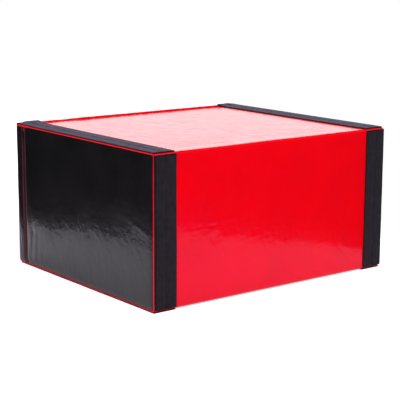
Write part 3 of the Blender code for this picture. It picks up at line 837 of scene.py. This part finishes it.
class BLOCK_OT_piping(bpy.types.Operator):
    """Red piping round both ends, a cord in fabric that puckers a little along its seam"""

    bl_idname = "block.piping"
    bl_label = "Piping"

    def execute(self, context):
        self.loop("zipped_end_piping", -1, "left_end_piping", 61)
        self.loop("plain_end_piping", 1, "right_end_piping", 62)
        return {"FINISHED"}

    def loop(self, name, side, node, seed):
        low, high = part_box(node)
        radius = (high.x - low.x) / 2
        half = ((high.y - low.y) / 2 - radius, (high.z - low.z) / 2 - radius)
        route = self.route(half, bpy.context.scene.block_cover.fold - radius)
        curve = bpy.data.curves.new(name, "CURVE")
        adjust(curve, dimensions="3D", fill_mode="FULL", bevel_depth=radius, bevel_resolution=3)
        spline = curve.splines.new("POLY")
        spline.points.add(len(route) - 1)
        for index, (point, (y, z)) in enumerate(zip(spline.points, route)):
            pucker = noise.noise(Vector((index * 0.9, seed, 0.0)))
            lift = 0.0006 if z > half[1] - 0.001 else 0.0
            point.co = (side * (END_X - radius), y, MID_Z + z + lift, 1.0)
            point.radius = self.fullness(y, z, half) + 0.05 * pucker
        spline.use_cyclic_u = True
        piping = bpy.data.objects.new(name, curve)
        bpy.context.scene.collection.objects.link(piping)
        focus(piping)
        bpy.ops.object.convert(target="MESH")
        piping = bpy.context.object
        piping.name = piping.data.name = name
        outward(piping)
        smooth_shade(piping, 60)
        finish(piping, "piping", "red_piping", node)

    def route(self, half, bend):
        """Points (y, z) round an end with rounded corners, 5 mm apart on the straight parts."""
        arcs = []
        for a, b, start in ((1, 1, 0.0), (-1, 1, 0.5), (-1, -1, 1.0), (1, -1, 1.5)):
            turns = [(start + 0.1 * step) * math.pi for step in range(6)]
            y, z = a * (half[0] - bend), b * (half[1] - bend)
            arcs.append([(y + bend * math.cos(turn), z + bend * math.sin(turn)) for turn in turns])
        route = []
        for arc, following in zip(arcs, arcs[1:] + arcs[:1]):
            (y, z), (end_y, end_z) = arc[-1], following[0]
            count = round(math.dist(arc[-1], following[0]) / 0.005)
            shares = [step / count for step in range(1, count)]
            route += arc + [(y + (end_y - y) * part, z + (end_z - z) * part) for part in shares]
        return route

    def fullness(self, y, z, half):
        """Share of the piping that stands out of its seam: most on top, where its ends lap."""
        if z > half[1] - 0.001:
            return 0.95 + 0.45 * float(ease((y - 0.400) / 0.012) * ease((half[0] - y) / 0.010))
        if z < -half[1] + 0.001:
            return 0.58
        if y > -half[0] + 0.001:
            return 0.75
        return 0.82 - 0.32 * float(ease((z - half[1] + 0.085) / 0.065))


# Loop strips


class BLOCK_OT_strips(bpy.types.Operator):
    """Sixteen loop tapes, two side by side along each edge of each end"""

    bl_idname = "block.strips"
    bl_label = "Loop strips"

    # Distance of the mesh lines from a tape's side, close together at the side and the seam
    NEAR_SIDE = (0.0, 0.0004, 0.001, 0.002, 0.0027, 0.0035, 0.0043, 0.0052, 0.0070)

    def execute(self, context):
        for end in ("left", "right"):
            for face, lane in TAPES:
                self.tape(end, face, lane, context.scene.block_strips)
        return {"FINISHED"}

    def tape(self, end, face, lane, strips):
        node = f"{end}_{face}_tape_{lane}"
        low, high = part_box(node)
        run = RUN_AXIS[face]
        width = high.x - low.x
        length = high[run] - low[run]
        columns = self.columns(width, strips)
        counts = {"x_subdivisions": len(columns) - 1, "y_subdivisions": round(length / strips.tuft)}
        name = f"loop_tape_{end}_{face}_{lane}"
        tape = add(name, bpy.ops.mesh.primitive_grid_add, size=1.0, **counts)
        set_place(tape, (width, length, 1.0))
        self.close(tape)
        points = points_of(tape)
        seed = sum(ord(letter) for letter in node)
        top = points[:, 2] > -TOUCH
        column = np.rint((points[:, 0] / width + 0.5) * (len(columns) - 1)).astype(int)
        points[:, 0] = np.array(columns)[column]
        from_side = width / 2 - np.abs(points[:, 0])
        from_end = length / 2 - np.abs(points[:, 1])
        rise = np.sqrt(1 - (1 - np.clip(from_side / strips.shoulder, 0, 1)) ** 2)
        rise *= 0.35 + 0.65 * ease(from_end / strips.shoulder)
        full = strips.fullness * min(high - low)
        height = strips.selvedge + (full - strips.selvedge) * rise
        groove = np.exp(-(((from_side - strips.seam_inset) / 0.0009) ** 2))
        groove += np.exp(-(((from_end - strips.seam_inset) / 0.0016) ** 2))
        height -= strips.seam_depth * np.clip(groove, 0, 1)
        tuft = rough(points * (1, 0.3, 1), 1.6 * strips.tuft, seed) * strips.tuft_height
        tuft += rough(points, (0.016, 0.03, 0.02), seed + 1) * 0.5 * strips.tuft_height
        height += np.where(from_side > 0.001, tuft, 0.3 * tuft) - 0.5 * strips.tuft_height
        points[:, 2] = np.where(top, height, 0.0)
        # Pile level for the painted shade: its share of the full height, made lower at the cut ends.
        level = points[:, 2] / full * (0.55 + 0.45 * ease((from_end - 0.0002) / 0.003))
        points = self.place(points, face, low, high)
        # Painted shade along the side of the strip that lies by the piping.
        level *= 0.55 + 0.45 * ease((END_X - OVERHANG - np.abs(points[:, 0])) / strips.shaded_side)
        tape.data.attributes.new("pile_shade_level", "FLOAT", "POINT").data.foreach_set("value", level)
        self.trim_corner(points, end, face, low[run], high[run])
        self.reach_out(points, end, face, low[run], high[run])
        settle(points, end, face)
        set_points(tape, points)
        outward(tape)
        smooth_shade(tape, 60)
        finish(tape, "painted_lit_pile" if face == "top" else "upright_pile", "loop_tape", node)

    def columns(self, width, strips):
        """Places of the mesh lines across a tape."""
        near = list(self.NEAR_SIDE)
        span = width - 2 * near[-1]
        count = round(span / strips.tuft)
        middle = [near[-1] + span * step / count for step in range(1, count)]
        places = near + middle + [width - place for place in reversed(near)]
        return [place - width / 2 for place in places]

    def close(self, tape):
        """Gives the grid sides and a flat back."""
        with editing(tape):
            bpy.ops.mesh.select_all(action="SELECT")
            bpy.ops.mesh.extrude_region_move(TRANSFORM_OT_translate={"value": (0.0, 0.0, 0.001)})
            pick(tape, "EDGE", lambda edge: edge.is_boundary)
            bpy.ops.mesh.edge_face_add()
            bpy.ops.mesh.select_all(action="SELECT")
            bpy.ops.transform.translate(value=(0.0, 0.0, -0.001))

    def place(self, points, face, low, high):
        """Turns a flat tape onto its face of the block, on the cover."""
        x, y, z = points.T
        middle = (low + high) / 2
        rows = {
            "top": (middle.y + y, low.z + z),
            "base": (middle.y + y, high.z - z),
            "front": (high.y - z, middle.z + y),
            "rear": (low.y + z, middle.z + y),
        }
        return np.column_stack((middle.x + x, *rows[face]))

    def trim_corner(self, points, end, face, low, high):
        """Rounds a strip's outer corners, the loose rear one of the zipped end the most."""
        run = RUN_AXIS[face]
        for sign, limit in ((-1, low), (1, high)):
            loose = end == "left" and face == "top" and sign > 0
            radius = 0.013 if loose else 0.003
            across = np.clip((np.abs(points[:, 0]) - END_X + OVERHANG + radius) / radius, 0, 1)
            over = np.clip(sign * (points[:, run] - limit) + radius, 0, radius)
            points[:, run] -= sign * over * (1 - np.sqrt(1 - across * across))

    def reach_out(self, points, end, face, low, high):
        """Draws out the ends of the strips that pass the cover's folds in the photograph."""
        rear_end = 0.006 if end == "right" else 0.0
        below, above = {"top": (0.0, rear_end), "front": (0.0, 0.003), "base": (0.0045, 0.0)}.get(
            face, (0.0, 0.0)
        )
        run = RUN_AXIS[face]
        points[:, run] -= below * ease((low + 0.03 - points[:, run]) / 0.03)
        points[:, run] += above * ease((points[:, run] - high + 0.03) / 0.03)


def settle(points, end, face):
    """How a sewn strip wanders sideways, and how a top strip's free rear end stands up."""
    run = points * np.eye(3)[RUN_AXIS[face]]
    waver = bpy.context.scene.block_strips.waver
    points[:, 0] += waver * rough(run, 0.11, len(end) * 7 + len(face))
    if face == "top":
        reach, rise = (0.10, 0.0082) if end == "left" else (0.05, 0.0060)
        curl = np.clip((points[:, 1] - REAR_Y + reach) / reach, 0, 1) ** 1.6
        held = 0.15 + 0.85 * ease((END_X - np.abs(points[:, 0])) / 0.045)
        points[:, 2] += rise * curl * held


class BLOCK_OT_stitching(bpy.types.Operator):
    """Rows of stitches along the four sides of every loop tape"""

    bl_idname = "block.stitching"
    bl_label = "Stitching"

    def execute(self, context):
        for end in ("left", "right"):
            rows = []
            for face, lane in TAPES:
                rows += self.tape_rows(end, face, lane, context.scene.block_strips)
            focus(rows[0])
            for row in rows:
                row.select_set(True)
            bpy.ops.object.join()
            rows[0].name = rows[0].data.name = f"tape_stitching_{end}"
            smooth_shade(rows[0], 80)
            finish(rows[0], "thread", "loop_tape")
        return {"FINISHED"}

    def tape_rows(self, end, face, lane, strips):
        low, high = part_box(f"{end}_{face}_tape_{lane}")
        run = RUN_AXIS[face]
        up = 3 - run
        lift = strips.fullness * (high[up] - low[up]) - strips.seam_depth + 0.0001
        level = low[up] + lift if face in ("top", "rear") else high[up] - lift
        inset = strips.seam_inset
        places = []
        for x in (low.x + inset, high.x - inset):
            for along_run in (low[run] + inset, high[run] - inset):
                place = Vector((x, 0.0, 0.0))
                place[up], place[run] = level, along_run
                places.append(place)
        rows = []
        for first, last in ((0, 1), (2, 3), (0, 2), (1, 3)):
            row = self.row(places[first], places[last], up, strips)
            points = points_of(row)
            settle(points, end, face)
            set_points(row, points)
            rows.append(row)
        return rows

    def row(self, start, end, up, strips):
        """One row of stitches between two points, flat in the direction that looks outwards."""
        length = (end - start).length
        way = (end - start) / length
        row = add("stitch", bpy.ops.mesh.primitive_uv_sphere_add, segments=6, ring_count=4, radius=1.0)
        size = [strips.thread * 0.6] * 3
        size[[abs(round(part)) for part in way].index(1)] = strips.stitch * 0.42
        size[up] = strips.thread * 0.45
        set_place(row, size, place=start + way * strips.stitch / 2)
        repeat(row, way * strips.stitch, int(length / strips.stitch))
        return row


# Zip


def zip_strip(name, node, kind, slot, bow):
    """An upright strip beside the zip, cut across at even steps so that it can turn."""
    low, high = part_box(node)
    strip = add_block(name, low, high)
    divide(strip, 2, 0.006)
    with editing(strip):
        pick(strip, "EDGE", lambda edge: along(edge, 1) and edge.calc_length() > 0.01)
        bpy.ops.mesh.subdivide(number_cuts=5)
    modify(strip, "BEVEL", width=0.0003, segments=2)
    points = points_of(strip)
    points[:, 0] += bow * rough(points, 0.02, 71)
    points[:, 1] += veer(points)
    set_points(strip, points)
    smooth_shade(strip, 40)
    finish(strip, kind, slot, node)


class BLOCK_OT_zip_strips(bpy.types.Operator):
    """Red facing strips and black woven tapes on both sides of the zip"""

    bl_idname = "block.zip_strips"
    bl_label = "Zip strips"

    def execute(self, context):
        for word in ("front", "rear"):
            zip_strip(f"facing_{word}", f"zip_facing_{word}", "facing", "red_facing", 0.0001)
            zip_strip(f"woven_tape_{word}", f"zip_tape_{word}", "zip_tape", "zip_tape", 0.00008)
        return {"FINISHED"}


class BLOCK_OT_teeth(bpy.types.Operator):
    """Two rows of moulded teeth, half a pitch apart"""

    bl_idname = "block.teeth"
    bl_label = "Zip teeth"

    # Half the chain's width, the depth of a tooth's foot, and half its height
    HALF_CHAIN = 0.0055
    FOOT = 0.0029
    HALF_TOOTH = 0.00125

    # Length of each part of a tooth from its foot to its tip, and how much its height grows
    PARTS = ((0.0018, 0.9), (0.0004, 1.55), (0.0013, 1.0), (0.0005, 0.7))

    def execute(self, context):
        pitch = context.scene.block_zip.pitch
        self.row("moulded_teeth_front", "zip_teeth_front", -1, pitch, 0.25)
        self.row("moulded_teeth_rear", "zip_teeth_rear", 1, pitch, 0.75)
        return {"FINISHED"}

    def row(self, name, node, side, pitch, phase):
        low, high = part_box(node)
        foot = low.z + phase * pitch
        sides = sorted((ZIP_Y + side * self.HALF_CHAIN, ZIP_Y + side * (self.HALF_CHAIN - self.FOOT)))
        tooth = add_block(
            name,
            (low.x, sides[0], foot - self.HALF_TOOTH),
            (high.x, sides[1], foot + self.HALF_TOOTH),
        )
        with editing(tooth):
            pick(tooth, "FACE", lambda face: face.normal.y * side < -0.9)
            bpy.ops.mesh.inset(thickness=0.0004)
            for step, grow in self.PARTS:
                move = {"value": (0.0, -side * step, 0.0)}
                bpy.ops.mesh.extrude_region_move(TRANSFORM_OT_translate=move)
                bpy.ops.transform.resize(value=(1.0, 1.0, grow))
        modify(tooth, "BEVEL", width=0.0002, segments=1)
        repeat(tooth, (0.0, 0.0, pitch), int((high.z - foot - self.HALF_TOOTH) / pitch) + 1)
        outward(tooth)
        smooth_shade(tooth, 40)
        finish(tooth, "teeth", "zip_teeth", node)


class BLOCK_OT_hardware(bpy.types.Operator):
    """Finishes for the zip's stops, slider and pull, whose CAD shapes stay"""

    bl_idname = "block.hardware"
    bl_label = "Zip hardware"

    def execute(self, context):
        finishes = {
            "zip_bottom_stop": "teeth",
            "zip_top_stop_front": "zinc",
            "zip_top_stop_rear": "zinc",
            "zip_slider": "zinc",
            "zip_slider_back": "zinc",
            "zip_pull": "enamel",
        }
        for node, kind in finishes.items():
            piece = frame["nodes"][node]
            piece.data.materials.clear()
            piece.data.materials.append(material_of(kind))
        return {"FINISHED"}


# Foam


class BLOCK_OT_foam(bpy.types.Operator):
    """Foam slabs of the core, with sawn faces and softened edges"""

    bl_idname = "block.foam"
    bl_label = "Foam slabs"

    def execute(self, context):
        for word in ("lower", "upper"):
            node = f"foam_slab_{word}"
            slab = frame["nodes"][node].copy()
            slab.data = slab.data.copy()
            slab.parent = None
            # The copy is a piece of its own, so it drops the marks of a CAD node
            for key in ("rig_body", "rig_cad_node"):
                if key in slab:
                    del slab[key]
            slab.name = slab.data.name = f"sawn_foam_{word}"
            context.scene.collection.objects.link(slab)
            with editing(slab):
                bpy.ops.mesh.select_all(action="SELECT")
                bpy.ops.mesh.remove_doubles(threshold=1e-5)
                bpy.ops.mesh.dissolve_limited(angle_limit=math.radians(1))
            points = points_of(slab)
            points[:, :2] *= 1 - FOAM_ROOM / np.array((END_X, REAR_Y))
            points[:, 2] -= FOAM_ROOM * ease((points[:, 2] - MID_Z) / 0.05)
            set_points(slab, points)
            modify(slab, "BEVEL", width=0.002, segments=2, limit_method="ANGLE")
            smooth_shade(slab, 30)
            finish(slab, "foam", "foam", node)
        return {"FINISHED"}


# Stage


class BLOCK_OT_stage(bpy.types.Operator):
    """White paper floor, soft lamp, plain surroundings and the camera"""

    bl_idname = "block.stage"
    bl_label = "Stage"

    # Level direction in which the camera looks, where the gloss on top mirrors the horizon
    AHEAD = (0.616, 0.788, 0.0)

    # How far the camera moves right and up from the line to the block's centre
    FRAMING = (0.0042, -0.0205)

    # Length, middle and turn of the paper
    PAPER_LENGTH = 12.0
    PAPER_PLACE = (-0.17, 0.10, -0.0002)
    PAPER_TURN = (0.0, 0.0, math.radians(-30))

    # Width and place of the lamp, and the point that it faces
    LAMP_WIDTH = 2.6
    LAMP_PLACE = (-0.1, -1.9, 3.5)
    LAMP_AIM = (0.0, 0.0, 0.3)

    def execute(self, context):
        sizes = context.scene.block_stage
        self.floor(sizes)
        self.lamp(sizes)
        self.surroundings(context.scene, sizes)
        self.camera(context.scene, sizes)
        context.scene.view_settings.view_transform = "Standard"
        return {"FINISHED"}

    def floor(self, sizes):
        """A length of white paper that runs under the block, towards the camera and back.

        It glows for the camera and a little in the gloss, and lights nothing itself.
        """
        material, tree, shader, place = blank("white_paper")
        ray = add_node(tree, "LightPath").outputs
        away = add_node(tree, "VectorMath", {"operation": "LENGTH"}, {0: place})
        fall = {"interpolation_type": "SMOOTHSTEP", "From Min": 0.6, "From Max": 2.2}
        level = add_node(tree, "MapRange", fall | {"To Min": 0.52, "To Max": 0.6}, {"Value": away})
        weights = {"operation": "MULTIPLY_ADD", 1: 0.15}
        mirrored = add_node(tree, "Math", weights, {0: ray["Is Glossy Ray"], 2: ray["Is Camera Ray"]})
        glow = add_node(tree, "Math", {"operation": "MULTIPLY"}, {0: mirrored, 1: level})
        looks = {"Base Color": linear("#E6E0E8"), "Roughness": 1.0, "Specular IOR Level": 0.0}
        looks |= {"Emission Color": linear("#FFFFFF")}
        wire(tree, shader, looks, {"Emission Strength": glow})
        floor = add("paper_floor", bpy.ops.mesh.primitive_plane_add, size=1.0)
        size = (sizes.paper_width, self.PAPER_LENGTH, 1.0)
        set_place(floor, size, self.PAPER_TURN, self.PAPER_PLACE)
        floor.data.materials.append(material)

    def lamp(self, sizes):
        light = bpy.data.lights.new("soft_lamp", "AREA")
        adjust(light, shape="SQUARE", size=self.LAMP_WIDTH, energy=sizes.lamp)
        lamp = bpy.data.objects.new("soft_lamp", light)
        lamp.location = self.LAMP_PLACE
        aim = Vector(self.LAMP_AIM) - lamp.location
        lamp.rotation_euler = aim.to_track_quat("-Z", "Y").to_euler()
        lamp.visible_glossy = False
        bpy.context.scene.collection.objects.link(lamp)

    def surroundings(self, scene, sizes):
        """Even light, a white background, and a low white horizon for the gloss to show."""
        world = bpy.data.worlds.new("studio")
        scene.world = world
        world.use_nodes = True
        tree = world.node_tree
        ray = add_node(tree, "LightPath").outputs
        way = add_node(tree, "TexCoord").outputs["Generated"]
        apart = add_node(tree, "SeparateXYZ", None, {"Vector": way}).outputs
        height = {"Value": apart["Z"]}
        soft = {"interpolation_type": "SMOOTHSTEP"}
        above = add_node(tree, "MapRange", soft | {"From Min": -0.01, "From Max": 0.01}, height)
        below = add_node(tree, "MapRange", soft | {"From Min": 0.27, "From Max": 0.31}, height)
        ring = add_node(tree, "Math", {"operation": "SUBTRACT"}, {0: above, 1: below})
        facing = add_node(tree, "VectorMath", {"operation": "DOT_PRODUCT", 1: self.AHEAD}, {0: way})
        ahead = soft | {"From Min": 0.55, "From Max": 0.85, "To Max": 1.44}
        behind = add_node(tree, "MapRange", ahead, {"Value": facing})
        band = add_node(tree, "Math", {"operation": "MULTIPLY"}, {0: ring, 1: behind})
        dome = {"From Min": -0.1, "From Max": 0.1, "To Min": 0.5 * sizes.sky, "To Max": sizes.sky}
        up = add_node(tree, "MapRange", dome, height)
        brighter = soft | {"From Min": -0.95, "From Max": -0.55, "To Min": 2.0, "To Max": 1.0}
        side = add_node(tree, "MapRange", brighter, {"Value": apart["X"]})
        even = add_node(tree, "Math", {"operation": "MULTIPLY"}, {0: up, 1: side})
        sources = {0: ray["Is Glossy Ray"], 2: even, 3: band}
        glossy = add_node(tree, "Mix", {"data_type": "FLOAT"}, sources)
        rays = {0: ray["Is Camera Ray"], 1: ray["Is Transmission Ray"]}
        seen = add_node(tree, "Math", {"operation": "MAXIMUM"}, rays)
        level = add_node(tree, "Mix", {"data_type": "FLOAT", 3: 1.0}, {0: seen, 2: glossy})
        white = {"data_type": "RGBA", 6: linear("#FFFCFF"), 7: linear("#FFFFFF")}
        colour = add_node(tree, "Mix", white, {0: seen})
        wire(tree, tree.nodes["Background"], None, {"Color": colour, "Strength": level})

    def camera(self, scene, sizes):
        a, e = sizes.azimuth, sizes.elevation
        back = Vector((math.sin(a) * math.cos(e), -math.cos(a) * math.cos(e), math.sin(e)))
        right = Vector((math.cos(a), math.sin(a), 0.0))
        up = back.cross(right)
        c, s = math.cos(sizes.roll), math.sin(sizes.roll)
        right, up = c * right + s * up, -s * right + c * up
        data = bpy.data.cameras.new("view")
        adjust(data, sensor_fit="HORIZONTAL", sensor_width=36.0, lens=sizes.lens)
        camera = bpy.data.objects.new("view", data)
        place = Vector((0.0, 0.0, MID_Z)) + back * sizes.distance
        place += right * self.FRAMING[0] + up * self.FRAMING[1]
        turn = Matrix((right, up, back)).transposed()
        camera.matrix_world = Matrix.Translation(place) @ turn.to_4x4()
        scene.collection.objects.link(camera)
        scene.camera = camera


OPERATORS = (
    BLOCK_OT_foam,
    BLOCK_OT_wrap,
    BLOCK_OT_end_panels,
    BLOCK_OT_piping,
    BLOCK_OT_strips,
    BLOCK_OT_stitching,
    BLOCK_OT_zip_strips,
    BLOCK_OT_teeth,
    BLOCK_OT_hardware,
    BLOCK_OT_stage,
)


class BLOCK_PT_panel(bpy.types.Panel):
    """Lists the block's operators in the sidebar"""

    bl_idname = "BLOCK_PT_panel"
    bl_label = "Parkour block"
    bl_space_type = "VIEW_3D"
    bl_region_type = "UI"
    bl_category = "Block"

    def draw(self, context):
        for kind in OPERATORS:
            self.layout.operator(kind.bl_idname)


GROUPS = {
    "block_cover": CoverSizes,
    "block_strips": StripSizes,
    "block_zip": ZipSizes,
    "block_stage": StageSizes,
}


def register():
    for kind in (*GROUPS.values(), *OPERATORS, BLOCK_PT_panel):
        bpy.utils.register_class(kind)
    for name, kind in GROUPS.items():
        setattr(bpy.types.Scene, name, bpy.props.PointerProperty(type=kind))


def unregister():
    for name in GROUPS:
        delattr(bpy.types.Scene, name)
    for kind in (BLOCK_PT_panel, *reversed(OPERATORS), *GROUPS.values()):
        bpy.utils.unregister_class(kind)


def main():
    register()
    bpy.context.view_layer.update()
    for kind in OPERATORS:
        area, name = kind.bl_idname.split(".")
        getattr(getattr(bpy.ops, area), name)()


if __name__ == "__main__":
    main()
